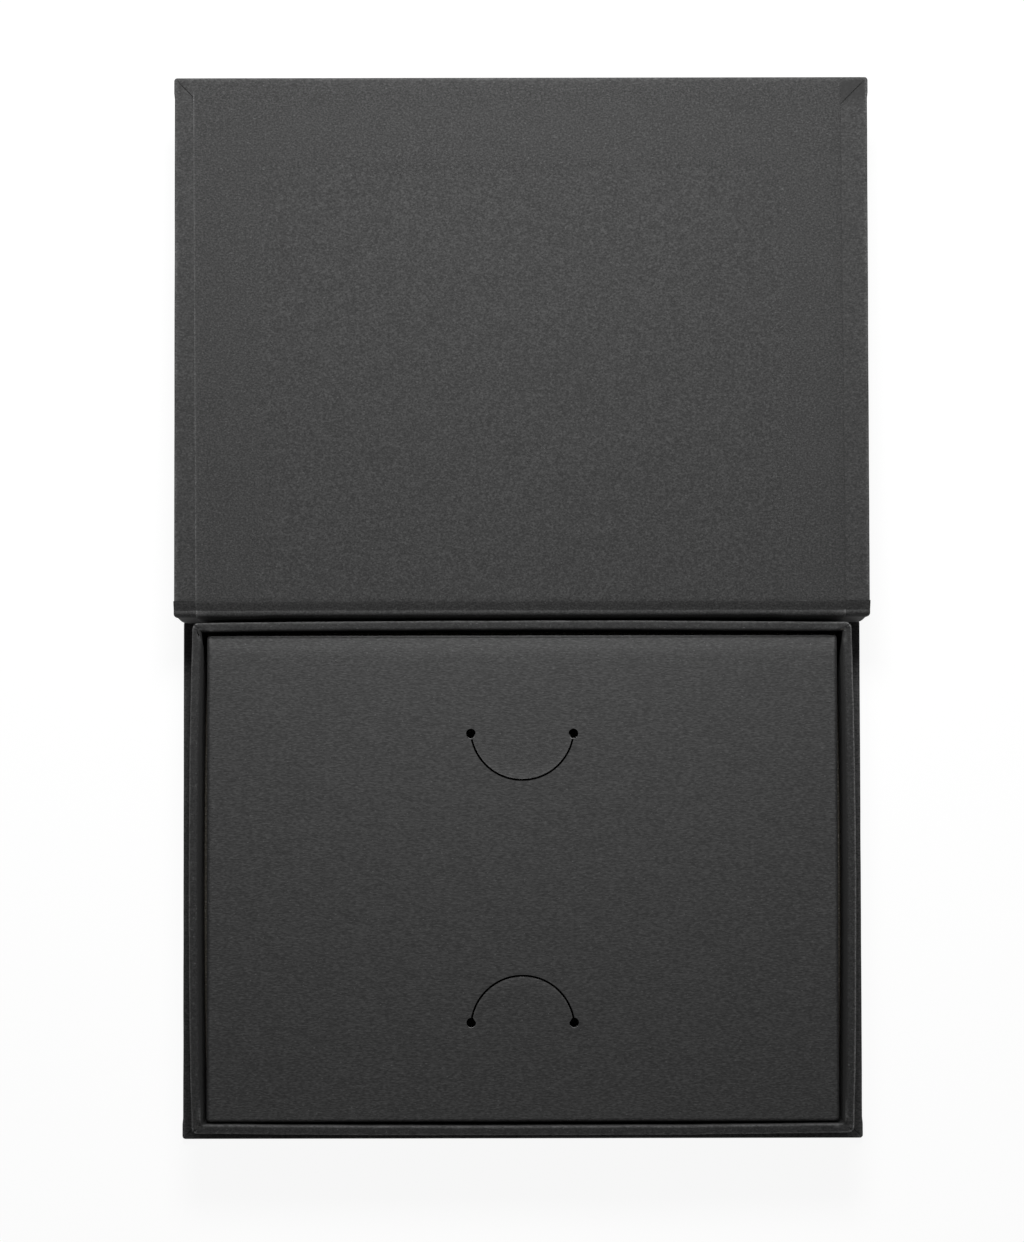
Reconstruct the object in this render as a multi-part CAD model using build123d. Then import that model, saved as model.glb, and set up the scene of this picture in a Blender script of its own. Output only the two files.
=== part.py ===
from build123d import *
from math import sqrt
import os

# Gift card box with a book-style lid, standing open with the lid laid flat behind it.
# Millimetres. X runs across the box, +Y away from the user, +Z up.
# The origin is the middle of the footprint, on the face that rests on the table.

# Case, the wrap-around cover of three boards
case_width = 131.0
base_depth = 101.2        # front edge of the base to the back of the spine
lid_length = 98.9         # hinge groove to free edge
case_board = 1.5
paper = 0.2               # wrap and liner
turn_in = 15.6            # paper folded in past each edge
hinge_gap = 1.5           # groove between spine and open lid
free_corner_radius = 0.6
hinge_corner_radius = 1.2
liner_side_margin = 4.4   # turn-in left bare beside the liner
liner_free_margin = 1.6   # turn-in left bare along the free edge
step_run = 1.9            # slope of the liner down from the turn-in to the board
mitre_slit = 0.12
groove_dip = 0.4          # sag of the liner into the groove

# Tray, a folded and wrapped set-up box
side_overhang = 3.5       # base past the tray's corners
front_overhang = 3.0
spine_gap = 0.3           # back wall at its fullest to the spine
tray_height = 21.0
tray_wall = 1.5
side_bow = 0.6            # the side walls bow outwards
end_bow = 0.35            # so do the front and back walls, less
rim_turn_in = 15.0        # wrap carried down inside the walls
foot_turn_in = 12.0       # wrap carried under the floor
corner_slit = 0.15        # cut between two walls of the folded blank
stay_width = 12.0
stay_paper = 0.12

# Platform, a folded card that carries the gift card
rim_drop = 1.9            # rim down to the platform
side_clearance = 0.55
end_clearance = 0.33
platform_forward = 0.15   # its slack is taken up towards the front
platform_card = 0.4
fold_radius = 0.9
back_fold_radius = 2.4    # the back fold is softer
skirt_corner_gap = 1.2
floor_clearance = 0.05

# Half-moon tabs, set for a standard card
card_height = 54.0
card_clearance = 0.1
tab_chord = 19.3          # between the centres of the stop holes
tab_depth = 8.75
slit = 0.25
stop_hole_radius = 0.9

seat_gap = 0.1            # rim to the shut lid
tiny = 0.001

# Levels and lines that follow
case_panel = case_board + 2 * paper
half_width = case_width / 2
base_front = -base_depth / 2
spine_back = base_depth / 2
spine_front = spine_back - case_panel
wall = tray_wall + 2 * paper
rim_z = case_panel + tray_height
hinge_z = rim_z + seat_gap
lid_face_z = hinge_z - paper          # bare turn-ins, and the liner where it lies on the board
lid_board_top = lid_face_z - paper
lid_board_bottom = lid_board_top - case_board
lid_under = lid_board_bottom - paper
lid_back = spine_back + hinge_gap
lid_free = lid_back + lid_length
liner_half = half_width - liner_side_margin
turn_half = half_width - turn_in
spine_top = lid_board_top
tray_front = base_front + front_overhang
tray_back = spine_front - spine_gap - end_bow
tray_half = half_width - side_overhang
tray_middle = (tray_front + tray_back) / 2
platform_half = tray_half - wall - side_clearance
platform_z = rim_z - rim_drop
platform_y = tray_middle - platform_forward
platform_half_depth = (tray_back - tray_front) / 2 - wall - end_clearance
root_line = card_height / 2 + card_clearance
tab_radius = (tab_chord ** 2 / 4 + tab_depth ** 2) / (2 * tab_depth)


def slab(x0, x1, y0, y1, z0, z1):
    """A box by its limits."""
    middle = Location(((x0 + x1) / 2, (y0 + y1) / 2, (z0 + z1) / 2))
    return middle * Box(x1 - x0, y1 - y0, z1 - z0)


def panel(y0, y1, z0, z1, inset, front_radius, back_radius):
    """A case panel across the full width, drawn in by inset, with rounded corners."""
    body = slab(-half_width + inset, half_width - inset, y0, y1, z0, z1)
    for y, radius in ((y0, front_radius), (y1, back_radius)):
        if radius > inset:
            uprights = body.edges().filter_by(Axis.Z)
            corners = uprights.filter_by_position(Axis.Y, y - tiny, y + tiny)
            body = fillet(corners, radius - inset)
    return body


def corner_slits(corner_y, towards, z0, z1):
    """Cuts along the mitre of the turn-ins at the two corners of an edge."""
    slits = []
    for side in (-1, 1):
        angle = -45 * side * towards
        reach = (turn_in + 2 * paper) * sqrt(2) * 2
        cut = Box(mitre_slit, reach, z1 - z0)
        place = Location((side * half_width, corner_y, (z0 + z1) / 2), (0, 0, angle))
        slits.append(place * cut)
    return slits


# Case

def make_base_board():
    return panel(base_front + paper, spine_front + paper, paper, paper + case_board,
                 paper, free_corner_radius, 0)


def make_base_wrap():
    """One sheet under the base and spine, turned up round the edges and in on top."""
    body = panel(base_front, spine_back, 0, case_panel, 0, free_corner_radius, 0)
    body -= make_base_board()
    body -= slab(-turn_half, turn_half, base_front + turn_in, spine_back, paper + case_board, case_panel)
    body -= slab(-half_width, half_width, spine_front, spine_back, paper, case_panel)
    for cut in corner_slits(base_front, -1, paper + case_board, case_panel):
        body -= cut
    return body


def make_spine_board():
    return slab(-half_width + paper, half_width - paper,
                spine_front + paper, spine_back - paper, paper, spine_top)


def make_spine_wrap():
    """Outside of the spine, round its two short ends, in on the inside and over the top beside the liner."""
    body = slab(-half_width, half_width, spine_front, spine_back, paper, spine_top)
    body -= make_spine_board()
    body -= slab(-turn_half, turn_half, spine_front, spine_front + paper, paper, spine_top)
    # Below the top of the base the inside is taken by the base board
    body -= slab(-half_width + paper, half_width - paper, spine_front, spine_front + paper,
                 paper, case_panel)
    for side in (-1, 1):
        near, far = sorted((side * liner_half, side * half_width))
        body += slab(near, far, spine_front, spine_back, spine_top, spine_top + paper)
    return body


def make_spine_liner():
    """Liner over the top of the spine and down its inside, stepped over the turn-ins."""
    top = slab(-liner_half, liner_half, spine_front, spine_back, spine_top, spine_top + paper)
    middle = slab(-turn_half, turn_half, spine_front, spine_front + paper, case_panel, spine_top)
    body = top + middle
    for side in (-1, 1):
        near = side * (turn_half - paper)
        far = side * liner_half
        body += slab(min(near, far), max(near, far), spine_front - paper, spine_front,
                     case_panel, spine_top + paper)
    return body


def hinge_strip(points, dips, x0, x1):
    """A strip across the hinge from x0 to x1, from its section in the YZ plane."""
    lower_start, lower_end, upper_end, upper_start = points
    if dips:
        middle_y = (lower_start[0] + lower_end[0]) / 2
        low = ThreePointArc(lower_start, (middle_y, lower_start[1] - groove_dip), lower_end)
        high = ThreePointArc(upper_end, (middle_y, upper_end[1] - groove_dip), upper_start)
    else:
        low = Line(lower_start, lower_end)
        high = Line(upper_end, upper_start)
    edges = [low, Line(lower_end, upper_end), high, Line(upper_start, lower_start)]
    section = Plane.YZ.offset(x0) * make_face(edges)
    return extrude(section, amount=x1 - x0, dir=(1, 0, 0))


def gutter(x0, x1):
    """A shallow gutter of paper between the top of the spine and the lid."""
    points = [(spine_back, spine_top), (lid_back, spine_top),
              (lid_back, spine_top + paper), (spine_back, spine_top + paper)]
    return hinge_strip(points, True, x0, x1)


def make_hinge_wrap():
    """Outer paper that bends, from the back of the spine to the underside of the lid,
    and its two turned-in ends, which cross the groove beside the liner."""
    start_z = spine_top - 2 * paper
    points = [(spine_back, start_z - 1.5 * paper), (lid_back, lid_under),
              (lid_back, lid_board_bottom), (spine_back, start_z)]
    strips = [hinge_strip(points, False, -half_width, half_width)]
    strips.append(gutter(-half_width, -liner_half))
    strips.append(gutter(liner_half, half_width))
    return Compound(children=strips)


def make_hinge_liner():
    return gutter(-liner_half, liner_half)


# Lid

def make_lid_board():
    return panel(lid_back, lid_free - paper, lid_board_bottom, lid_board_top,
                 paper, hinge_corner_radius, free_corner_radius)


def make_lid_wrap():
    """Outside of the lid, round three edges and in on the inside."""
    body = panel(lid_back, lid_free, lid_under, lid_face_z, 0, hinge_corner_radius, free_corner_radius)
    body -= make_lid_board()
    body -= slab(-turn_half, turn_half, lid_back, lid_free - turn_in, lid_board_top, lid_face_z)
    for cut in corner_slits(lid_free, 1, lid_board_top, lid_face_z):
        body -= cut
    return body


def make_lid_liner():
    """Liner inside the lid, one paper higher where it lies on the turn-ins."""
    free_edge = lid_free - liner_free_margin
    body = slab(-liner_half, liner_half, lid_back, free_edge, lid_board_top, hinge_z)
    turn_ins = slab(-half_width, half_width, lid_back - 1, lid_free, lid_board_top, lid_face_z)
    turn_ins -= slab(-turn_half, turn_half, lid_back - 1, lid_free - turn_in, lid_board_top, lid_face_z)
    body -= turn_ins
    # Sunk field between the turn-ins, with a sloping border
    levels = []
    for z, half, far in ((lid_face_z, turn_half - step_run, lid_free - turn_in - step_run),
                         (hinge_z, turn_half, lid_free - turn_in)):
        y0 = lid_back - step_run
        middle = Location((0, (y0 + far) / 2, z))
        levels.append(middle * Rectangle(2 * half, far - y0))
    body -= loft(levels, ruled=True)
    return body


# Tray

def bowed(inset, z0, z1):
    """The tray's plan with its walls bowed outwards, drawn in by inset, from z0 up to z1."""
    x = tray_half - inset
    y0 = tray_front + inset
    y1 = tray_back - inset
    middle = tray_middle
    edges = [
        ThreePointArc((-x, y0), (0, y0 - end_bow), (x, y0)),
        ThreePointArc((x, y0), (x + side_bow, middle), (x, y1)),
        ThreePointArc((x, y1), (0, y1 + end_bow), (-x, y1)),
        ThreePointArc((-x, y1), (-x - side_bow, middle), (-x, y0)),
    ]
    section = Plane.XY.offset(z0) * make_face(edges)
    return extrude(section, amount=z1 - z0, dir=(0, 0, 1))


def stay_zones():
    """The four corners of the tray, where the stays lie."""
    zones = []
    for x in (-tray_half, tray_half):
        for y in (tray_front, tray_back):
            zones.append(slab(x - stay_width, x + stay_width, y - stay_width, y + stay_width,
                              case_panel + 2 * paper, rim_z - 2 * paper))
    return zones


def stay_shell():
    low = case_panel + 2 * paper
    high = rim_z - 2 * paper
    return bowed(paper, low, high) - bowed(paper + stay_paper, low, high)


def make_corner_stays():
    """Paper stays glued over the four corners, between board and wrap."""
    shell = stay_shell()
    return Compound(children=[zone & shell for zone in stay_zones()])


def make_tray_board():
    """Scored blank: the floor and four walls folded up from it."""
    floor_z = case_panel + paper
    body = bowed(paper, floor_z, rim_z - paper)
    body -= bowed(paper + tray_wall, floor_z + tray_wall, rim_z)
    # Each side wall stops short of the front and back walls
    inner_front = tray_front + paper + tray_wall
    inner_back = tray_back - paper - tray_wall
    for side in (-1, 1):
        near = side * (tray_half - paper - tray_wall - corner_slit)
        far = side * (tray_half + side_bow)
        for y0 in (inner_front, inner_back - corner_slit):
            body -= slab(min(near, far), max(near, far), y0, y0 + corner_slit,
                         floor_z + tray_wall, rim_z)
    shell = stay_shell()
    for zone in stay_zones():
        body -= zone & shell
    return body


def make_tray_wrap():
    """Paper round the outside of the walls, over the rim, down inside and in under the floor."""
    body = bowed(0, case_panel, rim_z)
    body -= bowed(paper, case_panel + paper, rim_z - paper)
    body -= bowed(wall, rim_z - 2 * paper, rim_z)
    body -= bowed(foot_turn_in, case_panel, case_panel + paper)
    inside = bowed(wall - paper, rim_z - rim_turn_in, rim_z - paper)
    inside -= bowed(wall, rim_z - rim_turn_in, rim_z - paper)
    return body + inside


# Platform and tabs

def half_moon(side, radius):
    """The segment of a disc between the root line and the arc, through the card."""
    centre_y = platform_y + side * (root_line - tab_depth + tab_radius)
    disc = Location((0, centre_y, platform_z - platform_card / 2)) * Cylinder(radius, platform_card)
    near, far = sorted((platform_y, platform_y + side * root_line))
    return disc & slab(-tab_chord, tab_chord, near, far, platform_z - platform_card, platform_z)


def stop_holes(side):
    """The round holes that end each slit."""
    holes = []
    for x in (-tab_chord / 2, tab_chord / 2):
        place = Location((x, platform_y + side * root_line, platform_z - platform_card / 2))
        holes.append(place * Cylinder(stop_hole_radius, platform_card))
    return holes


def make_tab(side):
    """A half-moon tongue; side is +1 at the back and -1 at the front."""
    body = half_moon(side, tab_radius - slit / 2)
    for hole in stop_holes(side):
        body -= hole
    return body


def make_platform_card():
    """Card folded down on four sides, with the two half-moon cuts."""
    floor_z = case_panel + paper + tray_wall + floor_clearance
    y0 = platform_y - platform_half_depth
    y1 = platform_y + platform_half_depth
    body = slab(-platform_half, platform_half, y0, y1, floor_z, platform_z)
    inner = slab(-platform_half + platform_card, platform_half - platform_card,
                 y0 + platform_card, y1 - platform_card, floor_z, platform_z - platform_card)
    shells = []
    for solid, trim in ((body, 0), (inner, platform_card)):
        around = solid.faces().sort_by(Axis.Z)[-1].edges().sort_by(Axis.Y)
        back = around[-1]
        solid = fillet([back], back_fold_radius - trim)
        top = solid.faces().sort_by(Axis.Z)[-1]
        others = top.edges().sort_by(Axis.Y)[:-1]
        shells.append(fillet(others, fold_radius - trim))
    body = shells[0] - shells[1]
    # The skirts are cut apart at the corners, below the folds
    skirt_top = platform_z - back_fold_radius
    for x in (-platform_half, platform_half):
        for y in (y0, y1):
            body -= slab(x - skirt_corner_gap, x + skirt_corner_gap,
                         y - skirt_corner_gap, y + skirt_corner_gap, floor_z, skirt_top)
    for side in (-1, 1):
        body -= half_moon(side, tab_radius + slit / 2)
        for hole in stop_holes(side):
            body -= hole
    return body


pieces = {
    "base_board": make_base_board,
    "base_wrap": make_base_wrap,
    "spine_board": make_spine_board,
    "spine_wrap": make_spine_wrap,
    "spine_liner": make_spine_liner,
    "hinge_wrap": make_hinge_wrap,
    "hinge_liner": make_hinge_liner,
    "lid_board": make_lid_board,
    "lid_wrap": make_lid_wrap,
    "lid_liner": make_lid_liner,
    "tray_board": make_tray_board,
    "corner_stays": make_corner_stays,
    "tray_wrap": make_tray_wrap,
    "platform_card": make_platform_card,
    "upper_card_tab": lambda: make_tab(1),
    "lower_card_tab": lambda: make_tab(-1),
}

os.makedirs("parts", exist_ok=True)
for name, make in pieces.items():
    export_step(make(), f"parts/{name}.step")

print(f"hinge axis y {spine_back:.3f} z {hinge_z:.3f}")
print(f"tab roots y {platform_y + root_line:.3f} and {platform_y - root_line:.3f}, z {platform_z:.3f}")
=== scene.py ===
import bpy
import bmesh
import numpy as np
from mathutils import Matrix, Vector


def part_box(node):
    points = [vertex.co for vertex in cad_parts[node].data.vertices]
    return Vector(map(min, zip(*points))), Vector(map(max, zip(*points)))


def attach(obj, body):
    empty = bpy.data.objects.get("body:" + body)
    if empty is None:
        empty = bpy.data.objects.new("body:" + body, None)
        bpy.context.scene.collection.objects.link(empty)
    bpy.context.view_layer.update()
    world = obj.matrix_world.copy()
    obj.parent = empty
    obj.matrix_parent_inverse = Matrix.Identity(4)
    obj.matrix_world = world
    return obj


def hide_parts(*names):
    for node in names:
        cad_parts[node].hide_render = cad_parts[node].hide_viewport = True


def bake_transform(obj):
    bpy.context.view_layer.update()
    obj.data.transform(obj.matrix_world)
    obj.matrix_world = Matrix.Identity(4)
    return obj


# A small black gift card box, lid open flat behind the tray, dressed in paper and card.
# Metres. Every piece is worked out from the boxes of the fixed parts, so it fits them.

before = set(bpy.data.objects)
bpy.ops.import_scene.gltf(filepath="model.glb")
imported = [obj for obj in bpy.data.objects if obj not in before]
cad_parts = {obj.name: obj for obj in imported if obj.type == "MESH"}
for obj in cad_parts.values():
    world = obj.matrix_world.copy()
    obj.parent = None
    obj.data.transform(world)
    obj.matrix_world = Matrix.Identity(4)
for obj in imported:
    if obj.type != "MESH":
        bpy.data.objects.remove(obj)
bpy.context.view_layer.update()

mm = 0.001
pi = np.pi


def limits(node):
    low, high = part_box(node)
    return np.array(low), np.array(high)


# The few lines and levels that every piece shares
lidLow, lidHigh = limits("lid_wrap")
baseLow, baseHigh = limits("base_wrap")
boardLow, boardHigh = limits("lid_board")
spineLow, spineHigh = limits("spine_wrap")
trayLow, trayHigh = limits("tray_wrap")
platformLow, platformHigh = limits("platform_card")
linerHigh = limits("lid_liner")[1]
spineLinerLow = limits("spine_liner")[0]
tabRootTop = limits("upper_card_tab")[1][1]
tabRootLow = limits("lower_card_tab")[0][1]

paper = boardLow[2] - lidLow[2]
halfWidth = lidHigh[0]
spineThick = spineHigh[1] - spineLow[1]
turnIn = 15.6 * mm          # how far the cover paper is folded in over the boards


# Mesh helpers

def gridFaces(rows, columns, closed, start, flip):
    # quads over a grid of rows by columns, the last row joined to the first where it is closed
    r = np.arange(rows if closed else rows - 1)[:, None]
    c = np.arange(columns - 1)[None, :]
    a = start + r * columns + c
    b = start + ((r + 1) % rows) * columns + c
    quads = np.stack([a, b, b + 1, a + 1], axis=-1).reshape(-1, 4)
    return quads[:, ::-1] if flip else quads


def sheetArrays(outer, inner, closed=False, joined=()):
    # a thin sheet: its outer grid, its inner grid turned round, and a strip along each open border;
    # a first or last column named in joined runs to a middle line or point, so it has no border
    rows, columns = outer.shape[:2]
    half = rows * columns
    points = np.concatenate([outer.reshape(-1, 3), inner.reshape(-1, 3)])
    faces = [gridFaces(rows, columns, closed, 0, False), gridFaces(rows, columns, closed, half, True)]
    r = np.arange(rows if closed else rows - 1)
    step = ((r + 1) % rows) * columns
    for edge, turned in ((0, False), (columns - 1, True)):
        if edge in joined:
            continue
        strip = np.stack([r * columns + edge, half + r * columns + edge, half + step + edge, step + edge], -1)
        faces.append(strip[:, ::-1] if turned else strip)
    if not closed:
        c = np.arange(columns - 1)
        for first, turned in ((0, True), ((rows - 1) * columns, False)):
            strip = np.stack([first + c, half + first + c, half + first + c + 1, first + c + 1], -1)
            faces.append(strip[:, ::-1] if turned else strip)
    return points, np.concatenate(faces)


def makePiece(name, points, faces, material, wearAndPaintedLight=None, sharp=35):
    mesh = bpy.data.meshes.new(name)
    mesh.vertices.add(len(points))
    mesh.vertices.foreach_set("co", np.asarray(points, dtype=np.float32).ravel())
    mesh.loops.add(faces.size)
    mesh.loops.foreach_set("vertex_index", faces.astype(np.int32).ravel())
    mesh.polygons.add(len(faces))
    mesh.polygons.foreach_set("loop_start", np.arange(0, faces.size, 4, dtype=np.int32))
    mesh.update(calc_edges=True)
    values = np.zeros(len(points)) if wearAndPaintedLight is None else wearAndPaintedLight
    layer = mesh.attributes.new("wearAndPaintedLight", "FLOAT", "POINT")
    layer.data.foreach_set("value", np.asarray(values, dtype=np.float32).ravel())
    mesh.validate()
    body = bmesh.new()
    body.from_mesh(mesh)
    bmesh.ops.remove_doubles(body, verts=body.verts, dist=0.0005 * mm)
    bmesh.ops.dissolve_degenerate(body, dist=0.0002 * mm, edges=body.edges)
    bmesh.ops.recalc_face_normals(body, faces=body.faces)
    body.to_mesh(mesh)
    body.free()
    mesh.shade_smooth()
    mesh.set_sharp_from_angle(angle=np.radians(sharp))
    mesh.materials.append(material)
    piece = bpy.data.objects.new(name, mesh)
    bpy.context.scene.collection.objects.link(piece)
    return piece


def settle(piece, body, slot, *nodes):
    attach(piece, body)
    if nodes:
        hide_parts(*nodes)


def smooth(edge0, edge1, x):
    t = np.clip((x - edge0) / (edge1 - edge0), 0, 1)
    return t * t * (3 - 2 * t)


def waves(x, y, seed, count=6, longest=60 * mm):
    # a slow unevenness between -1 and 1: a sum of plane waves of random heading
    rng = np.random.default_rng(seed)
    total = np.zeros(np.broadcast(x, y).shape)
    for k in range(count):
        heading = rng.uniform(0, pi)
        length = longest / (1 + 0.6 * k)
        phase = rng.uniform(0, 2 * pi)
        total = total + np.sin(2 * pi * (x * np.cos(heading) + y * np.sin(heading)) / length + phase)
    return total / count


# Materials

def toLinear(hexText):
    channels = np.array([int(hexText[i:i + 2], 16) for i in (1, 3, 5)]) / 255
    linear = np.where(channels <= 0.04045, channels / 12.92, ((channels + 0.055) / 1.055) ** 2.4)
    return (*linear.tolist(), 1.0)


def addNode(tree, kind, inputs=None, **settings):
    # adds a node, sets its properties, then gives each named input a value or a link
    made = tree.nodes.new(kind)
    for key, value in settings.items():
        setattr(made, key, value)
    for key, value in (inputs or {}).items():
        if isinstance(value, bpy.types.NodeSocket):
            tree.links.new(value, made.inputs[key])
        else:
            made.inputs[key].default_value = value
    return made


def startMaterial(name):
    material = bpy.data.materials.new(name)
    material.use_nodes = True
    tree = material.node_tree
    tree.nodes.clear()
    return material, tree


def ramp(tree, factor, low, high):
    return addNode(tree, "ShaderNodeMapRange", {"Value": factor, "From Min": low, "From Max": high},
                   clamp=True).outputs["Result"]


def blendColours(tree, factor, first, second):
    made = addNode(tree, "ShaderNodeMix", data_type="RGBA")
    for socket, value in ((made.inputs[0], factor), (made.inputs[6], first), (made.inputs[7], second)):
        if isinstance(value, bpy.types.NodeSocket):
            tree.links.new(value, socket)
        else:
            socket.default_value = value
    return made.outputs[2]


def paperMaterial(name, look):
    # Colour: a dyed base, mottled by the sheet's formation, with fibre dashes along the grain,
    # dark pores between them, a few pale fibres, paler where the wear attribute is high, for rubbed edges and
    # painted highlight, and a deeper tone where it is below zero, for dark seams, folds and painted shade.
    material, tree = startMaterial(name)
    place = addNode(tree, "ShaderNodeTexCoord").outputs["Object"]

    def field(sizeMm, stretch, detail=2.0, rough=0.5):
        scale = (1 / (sizeMm[0] * mm), 1 / (sizeMm[1] * mm), 1 / (sizeMm[1] * mm))
        spread = addNode(tree, "ShaderNodeMapping", {"Vector": place, "Scale": scale, "Location": stretch})
        return addNode(tree, "ShaderNodeTexNoise", {
            "Vector": spread.outputs["Vector"], "Scale": 1.0, "Detail": detail, "Roughness": rough,
        }).outputs["Fac"]

    formation = field(look["formationMm"], (0, 0, 0), 3.0, 0.6)
    dashes = field(look["dashMm"], (3.1, 7.7, 1.3), 2.0, 0.6)
    fibres = field(look["fibreMm"], (11.3, 2.9, 5.1), 1.0, 0.5)
    pale = field(look["paleMm"], (5.7, 13.1, 9.2), 0.0, 0.5)
    base = blendColours(tree, ramp(tree, formation, 0.3, 0.7), toLinear(look["dark"]), toLinear(look["mid"]))
    grained = blendColours(tree, ramp(tree, dashes, *look["dashRange"]), base, toLinear(look["light"]))
    toothed = blendColours(tree, ramp(tree, fibres, 0.62, 0.3), grained, toLinear(look["deep"]))
    flecked = blendColours(tree, ramp(tree, pale, *look["paleRange"]), toothed, toLinear(look["pale"]))
    rubbedAndLit = addNode(tree, "ShaderNodeAttribute", attribute_name="wearAndPaintedLight").outputs["Fac"]
    patchy = addNode(tree, "ShaderNodeMath", {0: rubbedAndLit, 1: ramp(tree, dashes, 0.25, 0.6)},
                     operation="MULTIPLY").outputs[0]
    wornAndLit = blendColours(tree, ramp(tree, patchy, 0.0, 1.0), flecked, toLinear(look["rubbedAndLit"]))
    colour = blendColours(tree, ramp(tree, rubbedAndLit, 0.0, -1.0), wornAndLit, toLinear(look["deep"]))
    relief = addNode(tree, "ShaderNodeMath", {0: dashes, 1: fibres}, operation="ADD").outputs[0]
    bump = addNode(tree, "ShaderNodeBump", {
        "Height": relief, "Strength": look["relief"], "Distance": look["reliefMm"] * mm,
    }).outputs["Normal"]
    shader = addNode(tree, "ShaderNodeBsdfPrincipled", {
        "Base Color": colour, "Roughness": look["roughness"], "IOR": 1.46, "Normal": bump,
        "Sheen Weight": look["sheen"], "Sheen Roughness": 0.5, "Specular IOR Level": look["gloss"],
    }).outputs["BSDF"]
    addNode(tree, "ShaderNodeOutputMaterial", {"Surface": shader})
    return material


# Cover paper, dyed through and calendered: matt charcoal, faint fibres, greyer where it is rubbed and where
# light is painted on
coverLook = dict(
    dark="#3E3E3E", mid="#464646", light="#565656", pale="#626262", rubbedAndLit="#8E8E8E", deep="#323232",
    formationMm=(4.0, 4.0), dashMm=(0.62, 0.34), fibreMm=(0.34, 0.28), paleMm=(0.5, 0.3),
    dashRange=(0.40, 0.68), paleRange=(0.74, 0.86), relief=0.5, reliefMm=0.04,
    roughness=0.7, sheen=0.04, gloss=0.4,
)
# Cover paper round the tray, the same sheet drawn tight over the rim, in a deeper copy: painted shade on the
# rim
shadedTrayLook = dict(coverLook, dark="#363636", mid="#3C3C3C", light="#4A4A4A", deep="#2C2C2C", rubbedAndLit="#9A9A9A")
# Liner paper, the same dye on an uncoated sheet: a touch paler, with a finer tooth
linerLook = dict(coverLook, dark="#414141", mid="#494949", light="#595959", deep="#353535",
                 dashMm=(0.55, 0.36), roughness=0.78, sheen=0.05)
# Platform card, black board with its grain running across: short level dashes catch the light,
# and the soft fold at the back takes a dull gloss
cardLook = dict(coverLook, dark="#404040", mid="#484848", light="#5A5A5A", pale="#666666", deep="#343434",
                dashMm=(0.95, 0.26), fibreMm=(0.7, 0.24), formationMm=(7.0, 4.0), dashRange=(0.40, 0.70),
                relief=0.5, roughness=0.55, gloss=0.5)
# Kraft stay paper, brown and fibrous
kraftLook = dict(coverLook, dark="#8A6A45", mid="#9B7A52", light="#AD8B60", pale="#C9AB80", rubbedAndLit="#C9AB80",
                 deep="#7A5C3A")
# Greyboard, pressed from waste pulp: warm grey, speckled
boardLook = dict(coverLook, dark="#7F7A70", mid="#8D887D", light="#9C968B", pale="#C4BFB4", rubbedAndLit="#A8A298",
                 deep="#6E6A61", formationMm=(3.0, 3.0), paleRange=(0.66, 0.74), relief=0.6, roughness=0.9)

coverPaper = paperMaterial("dyedCoverPaper", coverLook)
linerPaper = paperMaterial("uncoatedLinerPaper", linerLook)
shadedTrayCover = paperMaterial("shadedTrayPaper", shadedTrayLook)
platformCard = paperMaterial("blackPlatformCard", cardLook)
kraftPaper = paperMaterial("kraftStayPaper", kraftLook)
greyboard = paperMaterial("pulpGreyboard", boardLook)

nodeMaterials = dict(
    base_board=greyboard, spine_board=greyboard, lid_board=greyboard, tray_board=greyboard,
    corner_stays=kraftPaper, base_wrap=coverPaper, spine_wrap=coverPaper, lid_wrap=coverPaper,
    tray_wrap=coverPaper, hinge_wrap=coverPaper, hinge_liner=linerPaper, spine_liner=linerPaper,
    lid_liner=linerPaper, platform_card=platformCard, upper_card_tab=platformCard,
    lower_card_tab=platformCard,
)
for node, material in nodeMaterials.items():
    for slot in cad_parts[node].material_slots:
        slot.material = material
print("materials ready")


# Case wraps: one sheet over the outside of a board, folded in along three edges

caseWrap = dict(
    foldRadius=0.32 * mm,
    cornerRadius=0.6 * mm,
    flap=turnIn,
    alongSide=90,
    alongFree=120,
    cornerSteps=9,
    seamDepth=0.14 * mm,
    seamTone=0.9,
    edgeWave=0.05 * mm,
    edgeRub=0.55,
    cornerBump=0.12 * mm,
    square=4.7 * mm,        # the lid's one square-folded corner: its flap along the side,
    squareReach=5.2 * mm,   # and in from the side
    squareTone=0.75,
    stripPaintedLight=(0.10, 0.30),  # painted light on the base's open strips, left and right of the tray
)


def threeSides(inset, begin, length, half, radius, look):
    # Plan of the folded sheet drawn in by inset, hinge corner to hinge corner round the free edge,
    # each side starting at begin.
    # Straight runs end where the corner's centre square begins; past the radius a corner is a mitre.
    m = np.maximum(radius, inset)
    turn = np.maximum(radius - inset, 0)
    # two close lines beside each corner keep the seam narrow
    close = np.array([0.4 * mm, 0.15 * mm])
    t = np.concatenate([np.linspace(0, 1, look["alongSide"] - 2)[:-1], 1 - close / length, [1]])[:, None]
    close = close / (2 * half)
    f = np.linspace(0, 1, look["alongFree"] - 4)[1:-1]
    f = np.concatenate([close[::-1], f, 1 - close])[:, None]
    a = np.linspace(pi, pi / 2, look["cornerSteps"])[1:, None]
    left = (-(half - inset) + 0 * t, begin + t * (length - m - begin))
    corner = (-(half - m) + turn * np.cos(a), (length - m) + turn * np.sin(a))
    free = ((2 * f - 1) * (half - m), length - inset + 0 * f)
    x = np.concatenate([left[0], corner[0], free[0], -corner[0][::-1], -left[0][::-1]])
    s = np.concatenate([left[1], corner[1], free[1], corner[1][::-1], left[1][::-1]])
    return x, s


def seamLines(count, look):
    # 1 on the few lines that run through the two free corners, where the turn-ins meet, else 0
    lines = np.arange(count)
    mid = look["alongSide"] + look["cornerSteps"] // 2 - 1
    return (np.minimum(np.abs(lines - mid), np.abs(lines - (count - 1 - mid))) < 5) * 1.0


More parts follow.
